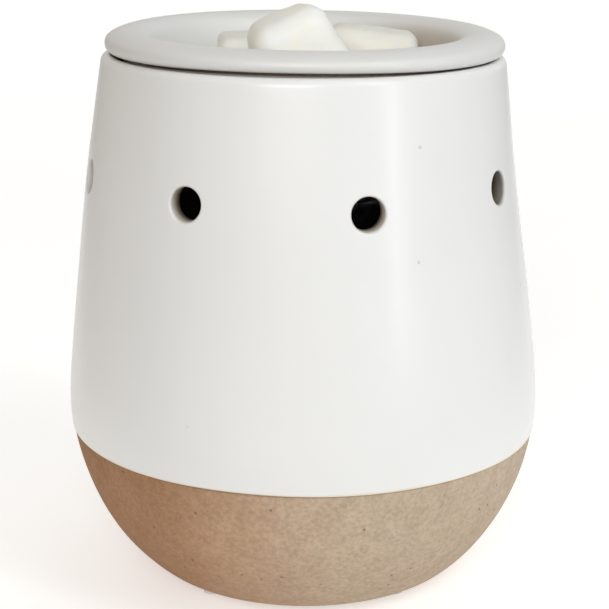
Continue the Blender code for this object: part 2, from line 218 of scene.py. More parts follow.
def colour(rgb):
    return (*rgb, 1.0)


def glaze_material(name, tone, edge_tone, gloss, line=None, bare_inside=None, shade_inside=None):
    """Satin white glaze: faint mottling, a soft orange-peel surface and a few pin holes."""
    n = Nodes(name, IOR=1.5)
    cloud = n.noise(22.0, 3.0, 0.55)
    base = n.mix(n.span(cloud, 0.35, 0.68), tone, tuple(c * 0.985 for c in tone))
    pits = n.cells(150.0)
    pit = n.span(pits.outputs["Distance"], 0.03, 0.085, 1.0, 0.0)
    chosen = n.math("GREATER_THAN", n.axis("X", pits.outputs["Color"]), 0.93)
    pit = n.math("MULTIPLY", pit, chosen)
    base = n.mix(n.math("MULTIPLY", pit, 0.35), base, (0.42, 0.36, 0.29))
    if line is not None:
        height = n.axis("Z")
        wander = n.math("MULTIPLY", n.math("SUBTRACT", n.noise(60.0, 2.0), 0.5), 0.0006)
        height = n.math("SUBTRACT", height, n.math("MULTIPLY", n.axis("X"), SLOPE))
        above = n.math("SUBTRACT", n.math("ADD", height, wander), line)
        base = n.mix(n.span(above, 0.00015, 0.00085, 0.85, 0.0), base, edge_tone)
    rough = n.span(n.noise(30.0, 2.0), 0.25, 0.75, *gloss)
    if bare_inside is not None:
        bare = n.span(n.radius(), bare_inside, bare_inside + 0.0004, 1.0, 0.0)
        sand = n.mix(n.span(n.noise(800.0, 3.0, 0.7), 0.35, 0.65), (0.29, 0.215, 0.15), (0.42, 0.33, 0.24))
        base = n.mix(bare, base, sand)
        rough = n.math("ADD", rough, n.math("MULTIPLY", bare, 0.55), clamp=True)
    # Painted shade: the bowl's inner wall on the +X side is darkened to a warm brown.
    if shade_inside is not None:
        wall = n.span(n.radius(), shade_inside - 0.001, shade_inside + 0.002, 1.0, 0.0)
        side = n.span(n.axis("X"), 0.012, 0.034)
        base = n.mix(n.math("MULTIPLY", wall, side), base, (0.50, 0.42, 0.335))
    normal = n.bump(n.noise(95.0, 3.0, 0.5), 0.10, 0.0006)
    normal = n.bump(n.math("MULTIPLY", pit, -1.0), 0.5, 0.00025, normal)
    return n.finish(base, rough, normal)


def clay_material(name, left, right, speck, line=None):
    """Bare stoneware: sandy grain, iron specks and faint throwing marks; darker and more orange towards -X.
    """
    n = Nodes(name, IOR=1.4)
    n.shader.inputs["Specular IOR Level"].default_value = 0.25
    # The clay is darker and more orange towards -X.
    drift = n.math("ADD", n.axis("X"), n.math("MULTIPLY", n.math("SUBTRACT", n.noise(30.0, 3.0), 0.5), 0.02))
    base = n.mix(n.span(drift, -0.036, 0.022), left, right)
    darker_left = tuple(c * k for c, k in zip(left, (0.80, 0.72, 0.66)))
    base = n.mix(n.span(drift, -0.034, -0.018, 1.0, 0.0), base, darker_left)
    # Painted shade: the clay darkens towards the foot, near the floor.
    if line is not None:
        foot = n.span(n.axis("Z"), 0.004, 0.030, 1.0, 0.0)
        base = n.mix(n.math("MULTIPLY", foot, 0.30), base, tuple(c * 0.35 for c in left))
    ashy = n.span(n.noise(24.0, 3.0, 0.55), 0.42, 0.70, 0.0, 0.28)
    base = n.mix(ashy, base, tuple(c * k for c, k in zip(left, (0.92, 1.12, 1.2))))
    grain = n.noise(900.0, 4.0, 0.68)
    sandy = n.mix(n.span(grain, 0.34, 0.66), (0.89, 0.88, 0.865), (1.095, 1.095, 1.085))
    base = n.mix(1.0, base, sandy, "MULTIPLY")
    stain = n.noise(230.0, 3.0, 0.6, n.stretched((1.0, 1.0, 0.8)))
    stained = n.mix(n.span(stain, 0.35, 0.70), (1.02, 1.02, 1.02), (0.93, 0.915, 0.90))
    base = n.mix(1.0, base, stained, "MULTIPLY")
    for scale, share, low, high in ((240.0, 0.90, 0.05, 0.13), (420.0, 0.86, 0.08, 0.2)):
        cells = n.cells(scale, n.stretched((1.0, 1.0, 0.9)))
        dot = n.span(cells.outputs["Distance"], low, high, 1.0, 0.0)
        chosen = n.math("GREATER_THAN", n.axis("X", cells.outputs["Color"]), share)
        base = n.mix(n.math("MULTIPLY", n.math("MULTIPLY", dot, chosen), 0.62), base, speck)
    # Painted shade: a dark band on the clay just below the glaze's edge, under its lip.
    if line is not None:
        height = n.math("SUBTRACT", n.axis("Z"), n.math("MULTIPLY", n.axis("X"), SLOPE))
        below = n.math("SUBTRACT", line, height)
        base = n.mix(n.span(below, 0.0, 0.0006, 0.55, 0.0), base, tuple(c * 0.45 for c in left))
    rings = n.noise(60.0, 2.0, 0.5, n.stretched((0.15, 0.15, 6.0)))
    normal = n.bump(rings, 0.25, 0.0004)
    normal = n.bump(grain, 0.55, 0.00018, normal)
    return n.finish(base, n.span(grain, 0.3, 0.7, 0.80, 0.92), normal)


def vent_wall_material():
    """Wall of a vent: white glaze over brown clay, with painted shade that deepens into the hole and darkens
    the vents on the +X side.
    """
    n = Nodes("vent_wall", IOR=1.5)
    surface = n.math("MULTIPLY", n.axis("Z"), -WALL_TAPER)
    surface = n.math("SUBTRACT", surface, (VENT_HEIGHT + FOOT) * -WALL_TAPER * MM)
    surface = n.math("ADD", surface, outer_radius(VENT_HEIGHT) * MM)
    depth = n.math("SUBTRACT", surface, n.radius(-VENT_DRIFT))
    depth = n.math("ADD", depth, n.math("MULTIPLY", n.math("SUBTRACT", n.noise(300.0, 2.0), 0.5), 0.0005))
    # Painted shade: deep in the hole the clay is made almost black, and the glaze above it darkens steadily
    # with depth.
    sand = n.mix(n.span(n.noise(800.0, 3.0, 0.7), 0.35, 0.65), (0.105, 0.08, 0.052), (0.15, 0.118, 0.08))
    glaze_and_depth_shade = n.mix(n.span(depth, -0.0003, 0.0024, smooth=False), (0.78, 0.77, 0.75), (0.44, 0.39, 0.31))
    base = n.mix(n.span(depth, 0.0018, 0.0034), glaze_and_depth_shade, sand)
    # Painted shade: the walls of the vents on the +X side are darkened.
    shaded = n.math("MULTIPLY", n.span(depth, 0.0, 0.0012), n.span(n.axis("X"), 0.02, 0.04, 0.0, 0.72))
    base = n.mix(shaded, base, (0.06, 0.045, 0.03))
    return n.finish(base, n.span(depth, 0.0, 0.0016, 0.4, 0.85), n.bump(n.noise(500.0, 3.0), 0.3, 0.0001))


def wax_material(name, tone, warm):
    """Moulded soy wax: cloudy, slightly translucent, with a soft frosted skin."""
    n = Nodes(name, IOR=1.43, Subsurface_Weight=0.85, Subsurface_Scale=0.011)
    n.shader.inputs["Subsurface Radius"].default_value = (1.0, 0.85, 0.5)
    cloud = n.noise(70.0, 4.0, 0.6)
    base = n.mix(n.span(cloud, 0.35, 0.7, 0.0, 0.8), tone, warm)
    frost = n.noise(260.0, 4.0, 0.65)
    base = n.mix(n.span(frost, 0.55, 0.75, 0.0, 0.35), base, (0.93, 0.92, 0.88))
    normal = n.bump(n.noise(150.0, 3.0, 0.55), 0.18, 0.0005)
    normal = n.bump(frost, 0.15, 0.0001, normal)
    return n.finish(base, n.span(frost, 0.3, 0.7, 0.42, 0.58), normal)


def plain_material(
    name, tone, low, high, grain=300.0, depth=0.0001, metallic=0.0, stretch=(1.0, 1.0, 1.0), **constants
):
    """Everyday plastics, rubbers and metals: a little mottling, uneven gloss and a fine surface grain."""
    n = Nodes(name, Metallic=metallic, **constants)
    place = n.stretched(stretch)
    coarse = n.noise(grain * 0.12, 3.0, 0.55, place)
    fine = n.noise(grain, 3.0, 0.6, place)
    dark = tuple(c * 0.93 for c in tone)
    light = tuple(min(1.0, c * 1.06) for c in tone)
    base = n.mix(n.span(coarse, 0.3, 0.7), dark, light)
    normal = n.bump(fine, 0.3, depth)
    wear = n.math("ADD", n.math("MULTIPLY", coarse, 0.5), n.math("MULTIPLY", fine, 0.5))
    return n.finish(base, n.span(wear, 0.35, 0.65, low, high), normal)


def sleeve_material():
    """Braided glass-fibre sleeve of the lamp leads: crossed strands with a slight gloss."""
    n = Nodes("glass_fibre_sleeve", 0.6)
    bands = []
    for scale in ((900.0, 900.0, 900.0), (900.0, -900.0, -900.0)):
        wave = n.add("ShaderNodeTexWave", wave_type="BANDS", bands_direction="DIAGONAL")
        n.feed(wave.inputs["Vector"], n.stretched(scale))
        wave.inputs["Scale"].default_value = 0.55
        wave.inputs["Distortion"].default_value = 0.6
        bands.append(wave.outputs["Fac"])
    braid = n.math("MAXIMUM", bands[0], bands[1])
    base = n.mix(n.span(braid, 0.3, 0.95), (0.50, 0.45, 0.34), (0.78, 0.73, 0.60))
    return n.finish(base, n.span(braid, 0.2, 1.0, 0.7, 0.5), n.bump(braid, 0.6, 0.0002))


def mirror_material():
    """Peened aluminium coating of the lamp's reflector."""
    n = Nodes("peened_mirror", 0.12, Metallic=1.0)
    dents = n.cells(330.0)
    cup = n.span(dents.outputs["Distance"], 0.0, 0.6, 0.0, 1.0)
    base = n.mix(n.span(n.noise(50.0), 0.3, 0.7), (0.80, 0.80, 0.82), (0.86, 0.86, 0.87))
    return n.finish(base, n.span(cup, 0.0, 1.0, 0.20, 0.32), n.bump(cup, 0.55, 0.0006))


LINE_Z = (GLAZE_LINE + FOOT) * MM
GLAZE = glaze_material(
    "satin_glaze", (0.855, 0.855, 0.845), (0.80, 0.72, 0.56), (0.235, 0.265), LINE_Z, bare_inside=0.0473
)
# Painted shade: the dish has the pot's satin glaze, set to a darker tone than the pot's.
SHADED_DISH_GLAZE = glaze_material(
    "dish_glaze", (0.765, 0.765, 0.75), (0.8, 0.7, 0.6), (0.30, 0.38), shade_inside=0.0372
)
CLAY = clay_material(
    "bare_stoneware", (0.46, 0.28, 0.168), (0.545, 0.445, 0.345), (0.10, 0.055, 0.03), LINE_Z
)
# Painted shade: the pot's inside is the same stoneware, made far darker to stand for the shade inside the
# pot.
SHADED_INSIDE_CLAY = clay_material("inside_clay_painted_shade", (0.13, 0.095, 0.065), (0.145, 0.11, 0.078), (0.05, 0.035, 0.025))
VENT_WALL = vent_wall_material()
SEAT_CLAY = clay_material("seat_clay", (0.36, 0.27, 0.19), (0.40, 0.31, 0.23), (0.10, 0.08, 0.06))
WAX = wax_material("cream_wax", (0.955, 0.94, 0.875), (0.94, 0.925, 0.845))
# Painted shade: a darker copy of the cream wax for the left and right melts, which sit in shade beside the
# centre block.
SHADED_WAX = wax_material("cream_wax_shaded", (0.81, 0.80, 0.735), (0.79, 0.775, 0.70))
POWDER_COAT = plain_material("black_powder_coat", (0.028, 0.028, 0.03), 0.42, 0.58, 900.0, 0.00008)
ZINC = plain_material("bright_zinc", (0.62, 0.63, 0.63), 0.28, 0.45, 500.0, 0.00003, 1.0, (1.0, 1.0, 0.2))
BRASS = plain_material("rolled_brass", (0.74, 0.55, 0.25), 0.25, 0.42, 600.0, 0.00003, 1.0, (0.15, 1.0, 1.0))
NICKEL = plain_material("nickel_pin", (0.66, 0.63, 0.58), 0.22, 0.38, 500.0, 0.00002, 1.0, (1.0, 1.0, 0.15))
RUBBER = plain_material("black_rubber", (0.03, 0.03, 0.031), 0.62, 0.80, 700.0, 0.00006)
SILICONE = plain_material(
    "clear_silicone", (0.60, 0.57, 0.52), 0.5, 0.62, 300.0, 0.00005, Transmission_Weight=0.55
)
STEATITE = plain_material("steatite", (0.80, 0.775, 0.71), 0.5, 0.68, 1100.0, 0.00005)
NYLON = plain_material("natural_nylon", (0.78, 0.76, 0.69), 0.38, 0.52, 350.0, 0.00004)
SLEEVE = sleeve_material()
FROSTED = plain_material(
    "frosted_lens", (0.93, 0.94, 0.94), 0.5, 0.6, 700.0, 0.00005, Transmission_Weight=0.9, IOR=1.47
)
GLASS = plain_material(
    "lamp_glass", (0.97, 0.98, 0.98), 0.02, 0.06, 60.0, 0.00003, Transmission_Weight=1.0, IOR=1.47
)
MIRROR = mirror_material()


# ---------------------------------------------------------------- pot

def ring_profile():
    """Rings of the pot's section: (radius, height, material index), outside top to inside top."""
    rings = []
    for step in range(7):
        a = pi / 2 * (1 - step / 6)
        rings.append((47.75 + 2.2 * cos(a), 130.9 + 2.0 * sin(a), 0))
    vent_rows = [VENT_HEIGHT + PATCH * (1 - 2 * k / PATCH_CELLS) for k in range(PATCH_CELLS + 1)]
    heights = [129.6, 127.4, 125.0, 122.4, 119.8, 117.2, 114.6] + vent_rows
    heights += [93.4 - 2.7 * k for k in range(20)]
    rings += [(outer_radius(h), h, 0) for h in heights if h > GLAZE_LINE + 1.6]
    lip = ((1.1, 0.0), (0.62, 0.03), (0.34, 0.02), (0.14, -0.03), (0.02, -0.13))
    rings += [(outer_radius(GLAZE_LINE + up) + out, GLAZE_LINE + up, 0) for up, out in lip]
    bare = ((-0.04, -0.25), (-0.16, -0.31), (-0.5, -0.3), (-1.1, -GLAZE_THICK))
    rings += [(outer_radius(GLAZE_LINE + up) + out, GLAZE_LINE + up, 1) for up, out in bare]
    heights = [36.2 - 2.2 * k for k in range(15)] + [4.2, 3.2, 2.3]
    rings += [(outer_radius(h) - GLAZE_THICK - (0.15 if h < 2.5 else 0.0), h, 1) for h in heights]
    foot = [(37.6, 1.6), (36.6, 1.08), (35.4, 0.9), (32.8, 0.9), (30.5, 0.9), (29.85, 1.05), (29.5, 1.6)]
    foot += [(29.5, 3.0), (29.5, 5.0), (29.5, 7.2), (29.3, 7.8), (28.8, 8.0), (26.0, 8.0), (22.5, 8.0)]
    foot += [(20.6, 8.0)]
    foot += [(20.15, 8.15), (20.0, 8.6), (20.0, 10.5), (20.0, 12.4), (20.15, 12.85), (20.6, 13.0)]
    rings += [(r, h, 1) for r, h in foot]
    floor = [(24.0, 13.0), (28.5, 13.0), (33.0, 13.02), (37.5, 13.15), (40.8, 13.6), (43.6, 14.7)]
    floor += [(45.6, 16.2), (47.5, 18.4)]
    rings += [(r, h, 2) for r, h in floor]
    heights = [21.5, 25.0, 28.5, 32.5, 36.5, 41.0, 46.0, 51.0, 56.0, 61.0, 66.0, 71.0, 76.0, 81.0, 86.0]
    heights += [91.0, 94.0]
    heights += list(reversed(vent_rows)) + [115.0, 118.5, 122.0, 125.5, 128.0]
    rings += [(outer_radius(h) - WALL, h, 2) for h in heights]
    for step in range(7):
        a = pi - pi / 2 * step / 6
        if step < 6:
            rings.append((47.75 + 2.0 * cos(a), 130.9 + 2.0 * sin(a), 0))
    return rings, vent_rows


def wall_columns():
    """Column angles round the wall, with the first column of each vent's patch."""
    half = PATCH / outer_radius(VENT_HEIGHT)
    angles = []
    starts = []
    for vent, (bearing, _) in enumerate(VENTS):
        middle = radians(bearing)
        after = radians(VENTS[(vent + 1) % len(VENTS)][0]) + (2 * pi if vent == len(VENTS) - 1 else 0.0)
        starts.append(len(angles))
        angles += [middle - half + 2 * half * k / PATCH_CELLS for k in range(PATCH_CELLS)]
        plain = after - middle - 2 * half
        angles += [middle + half + plain * k / PLAIN_CELLS for k in range(PLAIN_CELLS)]
    return angles, starts


def pot_mesh():
    rings, vent_rows = ring_profile()
    angles, starts = wall_columns()
    columns = len(angles)
    points = []
    faces = []
    slots = []

    def at(ring, column):
        return (ring % len(rings)) * columns + column % columns

    for r, h, slot in rings:
        for angle in angles:
            wave = 0.0
            if abs(h - GLAZE_LINE) < 1.2:
                wave = 0.11 * sin(3 * angle + 0.6) + 0.07 * sin(7 * angle + 2.0)
                wave = wave * (1.2 - abs(h - GLAZE_LINE)) / 1.2
            points.append((r * cos(angle) * MM, r * sin(angle) * MM, (h + wave + FOOT) * MM))
    top_rows = [index for index, ring in enumerate(rings) if abs(ring[1] - vent_rows[0]) < 1e-6]
    outer_row, inner_row = top_rows[0], top_rows[1] - PATCH_CELLS
    holes = set()
    for start in starts:
        for row in range(PATCH_CELLS):
            for column in range(PATCH_CELLS):
                holes.add((outer_row + row, (start + column) % columns))
                holes.add((inner_row + row, (start + column) % columns))
    for ring in range(len(rings)):
        slot = rings[ring][2] if rings[ring][2] == rings[(ring + 1) % len(rings)][2] else None
        if slot is None:
            slot = max(rings[ring][2], rings[(ring + 1) % len(rings)][2]) if ring < len(rings) - 8 else 0
        for column in range(columns):
            if (ring, column) in holes:
                continue
            faces.append((
                at(ring, column), at(ring, column + 1), at(ring + 1, column + 1), at(ring + 1, column)
            ))
            slots.append(slot)

    def perimeter(first_ring, start, downward):
        """Vertex numbers round a patch, anticlockwise from its top right corner as seen from outside."""
        n = PATCH_CELLS
        top = first_ring if downward else first_ring + n
        step = 1 if downward else -1
        loop = [at(top, start + n - k) for k in range(n)]
        loop += [at(top + step * k, start) for k in range(n)]
        loop += [at(top + step * n, start + k) for k in range(n)]
        loop += [at(top + step * (n - k), start + n) for k in range(n)]
        return loop

    def local(vertex, middle, level):
        """Tangential and vertical offset of a vertex from the vent's axis, in mm."""
        x, y, z = (c / MM for c in points[vertex])
        return -x * sin(middle) + y * cos(middle), z - FOOT - level

    def add_loop(offsets, middle, level, wall, depth):
        numbers = []
        for s, t in offsets:
            radius = outer_radius(level + t) - wall
            out = sqrt(radius * radius - s * s) - depth
            x = out * cos(middle) - s * sin(middle)
            y = out * sin(middle) + s * cos(middle)
            numbers.append(len(points))
            points.append((x * MM, y * MM, (level + t + FOOT) * MM))
        return numbers

    def bridge(first, second, slot):
        count = len(first)
        for k in range(count):
            faces.append((first[k], second[k], second[(k + 1) % count], first[(k + 1) % count]))
            slots.append(slot)

    count = 4 * PATCH_CELLS
    for (bearing, level), start in zip(VENTS, starts):
        middle = radians(bearing)
        wheel = [pi / 4 + 2 * pi * k / count for k in range(count)]
        loops = []
        rim = perimeter(outer_row, start, True)
        corners = [local(v, middle, level) for v in rim]
        loops.append((rim, 0))
        reach = VENT_RADIUS + VENT_EDGE
        for share in (0.35, 0.65, 0.85):
            ring = []
            for (s, t), a in zip(corners, wheel):
                ring.append((s + (reach * cos(a) - s) * share, t + (reach * sin(a) - t) * share))
            loops.append((add_loop(ring, middle, level, 0.0, 0.0), 0))
        for a_edge in (0, 18, 36, 54, 72, 90):
            rho = VENT_RADIUS + VENT_EDGE * (1 - sin(radians(a_edge)))
            depth = VENT_EDGE * (1 - cos(radians(a_edge)))
            ring = [(rho * cos(a), rho * sin(a)) for a in wheel]
            loops.append((add_loop(ring, middle, level, 0.0, depth), 3 if a_edge > 20 else 0))
        ring = [(VENT_RADIUS * cos(a), VENT_RADIUS * sin(a)) for a in wheel]
        loops.append((add_loop(ring, middle, level, 0.0, 1.2), 3))
        loops.append((add_loop(ring, middle, level, 0.0, 1.9), 3))
        loops.append((add_loop(ring, middle, level, 0.0, 2.8), 3))
        for a_edge in (90, 60, 30, 0):
            rho = VENT_RADIUS + INNER_EDGE * (1 - sin(radians(a_edge)))
            depth = -INNER_EDGE * (1 - cos(radians(a_edge)))
            ring = [(rho * cos(a), rho * sin(a)) for a in wheel]
            loops.append((add_loop(ring, middle, level, WALL, depth), 3 if a_edge == 90 else 2))
        rim = perimeter(inner_row, start, False)
        corners = [local(v, middle, level) for v in rim]
        reach = VENT_RADIUS + INNER_EDGE
        for share in (0.7, 0.35):
            ring = []
            for (s, t), a in zip(corners, wheel):
                ring.append((s + (reach * cos(a) - s) * share, t + (reach * sin(a) - t) * share))
            loops.append((add_loop(ring, middle, level, WALL, 0.0), 2))
        loops.append((rim, 2))
        for (first, _), (second, slot) in zip(loops, loops[1:]):
            bridge(first, second, slot)
    points = [settle(p) for p in points]
    mesh = mesh_from("pot_shell", points, faces)
    for material in (GLAZE, CLAY, SHADED_INSIDE_CLAY, VENT_WALL):
        mesh.materials.append(material)
    mesh.polygons.foreach_set("material_index", slots)
    work = bmesh.new()
    work.from_mesh(mesh)
    bmesh.ops.recalc_face_normals(work, faces=work.faces)
    work.to_mesh(mesh)
    work.free()
    return mesh


def settle(point):
    """Give a point of the true turned form the drift and tilt of the hand-made one."""
    x, y, z = (c / MM for c in point)
    height = max(0.0, min(134.0, z - FOOT))
    for (low, before), (high, after) in zip(LEAN, LEAN[1:]):
        if low <= height <= high:
            share = (height - low) / (high - low)
            drift = before + (after - before) * share
            break
    tilt = SLOPE * x * max(0.0, min(1.0, (height - 14.0) / 14.0))
    rise = LIP_RISE * y * y / (x * x + y * y) * max(0.0, min(1.0, (height - 120.0) / 11.0))
    return (x + drift) * MM, y * MM, (z + tilt + rise) * MM


def notch_cutter():
    """Arched tool for the cord notch in the back of the foot ring."""
    outline = [(-4.5, -3.0), (4.5, -3.0), (4.5, 4.2 + FOOT)]
    outline += [(4.5 * cos(pi * k / 16), FOOT + 4.2 + 2.8 * sin(pi * k / 16)) for k in range(1, 16)]
    outline += [(-4.5, 4.2 + FOOT)]
    count = len(outline)
    points = [(x * MM, y * MM, z * MM) for y in (25.0, 52.0) for x, z in outline]
    faces = [tuple(range(count)), tuple(range(2 * count - 1, count - 1, -1))]
    faces += [(k, count + k, count + (k + 1) % count, (k + 1) % count) for k in range(count)]
    mesh = mesh_from("cord_notch_tool", points, faces)
    work = bmesh.new()
    work.from_mesh(mesh)
    bmesh.ops.recalc_face_normals(work, faces=work.faces)
    work.to_mesh(mesh)
    work.free()
    mesh.materials.append(CLAY)
    return mesh


def build_pot():
    pot = new_object("pot_shell", pot_mesh())
    fine = pot.modifiers.new("fine", "SUBSURF")
    fine.levels = fine.render_levels = 1
    tool = new_object("cord_notch_tool", notch_cutter(), smooth=False)
    notch = pot.modifiers.new("notch", "BOOLEAN")
    notch.operation = "DIFFERENCE"
    notch.solver = "EXACT"
    notch.object = tool
    notch.material_mode = "TRANSFER"
    apply_modifiers(pot)
    bpy.data.objects.remove(tool, do_unlink=True)
    pot.data.shade_smooth()
    pot.data.set_sharp_from_angle(angle=radians(50))
    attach(pot, "base")
    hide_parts("ceramic_body")


# ---------------------------------------------------------------- turned pieces

def spline_through(points, per_span):
    """Catmull-Rom curve through (r, h) points, keeping its ends."""
    out = []
    count = len(points)
    for i in range(count - 1):
        p0 = points[max(i - 1, 0)]
        p1 = points[i]
        p2 = points[i + 1]
        p3 = points[min(i + 2, count - 1)]
        for k in range(per_span):
            t = k / per_span
            out.append(tuple(
                0.5 * (
                    2 * b + (c - a) * t + (2 * a - 5 * b + 4 * c - d) * t * t + (3 * b - a - 3 * c + d) * t**3
                )
                for a, b, c, d in zip(p0, p1, p2, p3)
            ))
    out.append(points[-1])
    return out


def turned_mesh(name, points, segments, at=(0.0, 0.0), closed=False, wobble=None):
    """Solid of revolution; points are (r, h) in mm above the foot, from the axis to the axis or a loop."""
    rings = [p for p in points if closed or p[0] > 1e-6]
    vertices = []
    for r, h in rings:
        for k in range(segments):
            angle = 2 * pi * k / segments
            dr, dh = wobble(angle, r, h) if wobble else (0.0, 0.0)
            x = at[0] + (r + dr) * cos(angle)
            y = at[1] + (r + dr) * sin(angle)
            vertices.append((x * MM, y * MM, (h + dh + FOOT) * MM))
    faces = []
    count = len(rings)
    for ring in range(count if closed else count - 1):
        a = ring * segments
        b = ((ring + 1) % count) * segments
        faces += [(a + k, b + k, b + (k + 1) % segments, a + (k + 1) % segments) for k in range(segments)]
    if not closed:
        for end, ring, flip in ((points[0], 0, False), (points[-1], count - 1, True)):
            centre = len(vertices)
            vertices.append((at[0] * MM, at[1] * MM, (end[1] + FOOT) * MM))
            a = ring * segments
            for k in range(segments):
                face = (centre, a + k, a + (k + 1) % segments)
                faces.append(face[::-1] if flip else face)
    mesh = mesh_from(name, vertices, faces)
    work = bmesh.new()
    work.from_mesh(mesh)
    bmesh.ops.recalc_face_normals(work, faces=work.faces)
    work.to_mesh(mesh)
    work.free()
    return mesh


def build_dish():
    top = [(0.0, 121.5), (8.0, 121.5), (16.0, 121.5), (23.0, 121.5), (28.0, 121.62), (31.6, 122.5)]
    top += [(34.4, 124.8), (35.9, 128.2), (36.5, 132.3), (37.15, 135.2), (38.2, 137.1), (40.0, 138.2)]
    top += [(42.4, 138.6), (45.1, 138.45), (47.2, 137.75)]
    edge = [(48.5, 136.95), (49.0, 136.1), (48.95, 135.2), (48.5, 134.5), (47.8, 134.05), (46.8, 133.8)]
    under = [(45.6, 133.6), (44.9, 133.0), (44.6, 131.5), (44.4, 130.0), (43.9, 129.2), (42.8, 129.05)]
    under += [(41.3, 129.6), (40.3, 129.9)]
    bowl = [(39.6, 127.0), (37.7, 122.6), (34.6, 119.5), (30.6, 118.1), (24.0, 117.7), (12.0, 117.55)]
    bowl += [(0.0, 117.5)]
    profile = spline_through(top + edge + under + bowl, 4)

    def wobble(angle, r, h):
        share = max(0.0, min(1.0, (r - 26.0) / 14.0))
        side = cos(angle) ** 2
        drop = (DISH_SAG * side * (1 - 0.3 * side) - DISH_CURL) * max(0.0, min(1.0, (r - 42.0) / 4.0))
        drop *= max(0.0, min(1.0, (137.0 - h) / 2.0))
        lift = 0.06 * sin(3 * angle + 1.1) * share + DISH_SLOPE * r * cos(angle) - drop
        return 0.06 * sin(2 * angle + 0.8) * share, lift

    mesh = turned_mesh("dish_fine", profile, 256, at=(DISH_SHIFT, 0.0), wobble=wobble)
    dish = new_object("dish_fine", mesh, SHADED_DISH_GLAZE)
    mesh.materials.append(SEAT_CLAY)
    for face in mesh.polygons:
        if face.normal.z < -0.35 and 43.3 * MM < hypot(face.center.x, face.center.y) < 47.3 * MM:
            face.material_index = 1
    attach(dish, "dish")
    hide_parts("wax_dish")


# ---------------------------------------------------------------- wax

def melt_mesh(name, size, taper, rounding, centre, tilt, turn, crown, seed):
    """Rounded wax block; taper holds the underside's scale, the top's, and the share of both that y gets."""
    work = bmesh.new()
    bmesh.ops.create_cube(work, size=2.0)
    bmesh.ops.subdivide_edges(work, edges=work.edges, cuts=31, use_grid_fill=True)
    half = Vector(size) / 2
    pose = Matrix.Translation((centre[0], centre[1], centre[2] + FOOT))
    pose = pose @ Matrix.Rotation(radians(turn), 4, "Z") @ Matrix.Rotation(radians(tilt), 4, "Y")
    for vertex in work.verts:
        cell = vertex.co.copy()
        corner = Vector([c * e for c, e in zip(cell, half)])
        core = Vector([max(rounding - e, min(e - rounding, c)) for c, e in zip(corner, half)])
        away = corner - core
        if away.length > 1e-9:
            corner = core + away.normalized() * rounding
        level = corner.z / half.z
        if level > 0:
            corner.z += crown * (1 - cell.x**2) * (1 - cell.y**2)
        squeeze = (taper[1] - 1) * level if level > 0 else (1 - taper[0]) * level
        corner.x *= 1 + squeeze
        corner.y *= 1 + squeeze * taper[2]
        bulge = noise.noise(corner * 0.10 + Vector((seed, 2.0 * seed, 0.0)))
        small = noise.noise(corner * 0.38 + Vector((0.0, seed, 3.0 * seed)))
        corner += corner.normalized() * (0.5 * bulge + 0.12 * small - 0.05)
        vertex.co = (pose @ corner) * MM
    mesh = bpy.data.meshes.new(name)
    bmesh.ops.recalc_face_normals(work, faces=work.faces)
    work.to_mesh(mesh)
    work.free()
    return mesh


def build_wax():
    rows = (
        (
            "centre", (20.5, 18.7, 19.0), (1.23, 0.866, 0.4), 4.3, (-1.76, -11.1, 134.6),
            -22.8, 11.9, 0.05, 1.7,
        ),
        ("right", (24.8, 18.6, 14.7), (0.8, 0.905, 1.0), 3.2, (16.8, 11.1, 129.95), 6.2, -4.2, 0.5, 4.1),
        ("left", (20.3, 19.0, 13.9), (0.88, 1.0, 1.0), 2.4, (-11.3, 11.5, 128.9), 0.8, 5.7, 0.2, 7.3),
    )
    for name, size, taper, rounding, centre, tilt, turn, crown, seed in rows:
        mesh = melt_mesh("wax_block_" + name, size, taper, rounding, centre, tilt, turn, crown, seed)
        melt = new_object("wax_block_" + name, mesh, WAX if name == "centre" else SHADED_WAX)
        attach(melt, "melt_" + name)
        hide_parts("wax_melt_" + name)


# ---------------------------------------------------------------- lamp and fittings

def build_lamp():
    outer = [(25.0, 99.35), (25.0, 97.6), (24.2, 93.6), (22.2, 87.0), (18.8, 79.3), (14.6, 72.6)]
    outer += [(11.4, 68.4), (10.5, 66.4)]
    neck = [(9.8, 66.3), (6.2, 66.3), (5.6, 66.6), (5.6, 67.4), (6.2, 67.7)]
    inner = [(9.6, 68.8), (13.4, 73.8), (17.4, 80.4), (20.7, 88.0), (22.4, 94.2), (22.7, 97.1)]
    inner += [(23.6, 97.35), (23.7, 98.0), (23.8, 99.35)]
    loop = spline_through(outer, 4) + spline_through(neck, 3)[1:] + spline_through(inner, 4)
    reflector = new_object("reflector_fine", turned_mesh("reflector_fine", loop, 96, closed=True), MIRROR)
    lens = [(0.0, 99.85), (8.0, 99.78), (15.0, 99.55), (21.0, 99.1), (22.9, 98.85), (23.3, 98.5)]
    lens += [(23.3, 97.9), (23.0, 97.6), (12.0, 97.6), (0.0, 97.6)]
    lens = new_object("lens_fine", turned_mesh("lens_fine", spline_through(lens, 3), 96), FROSTED)
    capsule = [(0.0, 82.0), (1.2, 81.85), (2.4, 81.35), (3.5, 80.4), (4.1, 79.2), (4.2, 77.5)]
    capsule += [(4.2, 72.0), (4.2, 66.3)]
    hollow = [(3.5, 66.3), (3.5, 72.0), (3.5, 77.5), (3.3, 79.0), (2.6, 80.1), (1.4, 80.9), (0.0, 81.2)]
    capsule = new_object("capsule_fine", turned_mesh("capsule_fine", capsule + hollow, 48), GLASS)
    for item, node, slot in (
        (reflector, "bulb_reflector", "lamp_mirror"),
        (lens, "bulb_lens", "lamp_glass"),
        (capsule, "bulb_capsule", "lamp_glass"),
    ):
        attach(item, "bulb")
        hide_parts(node)


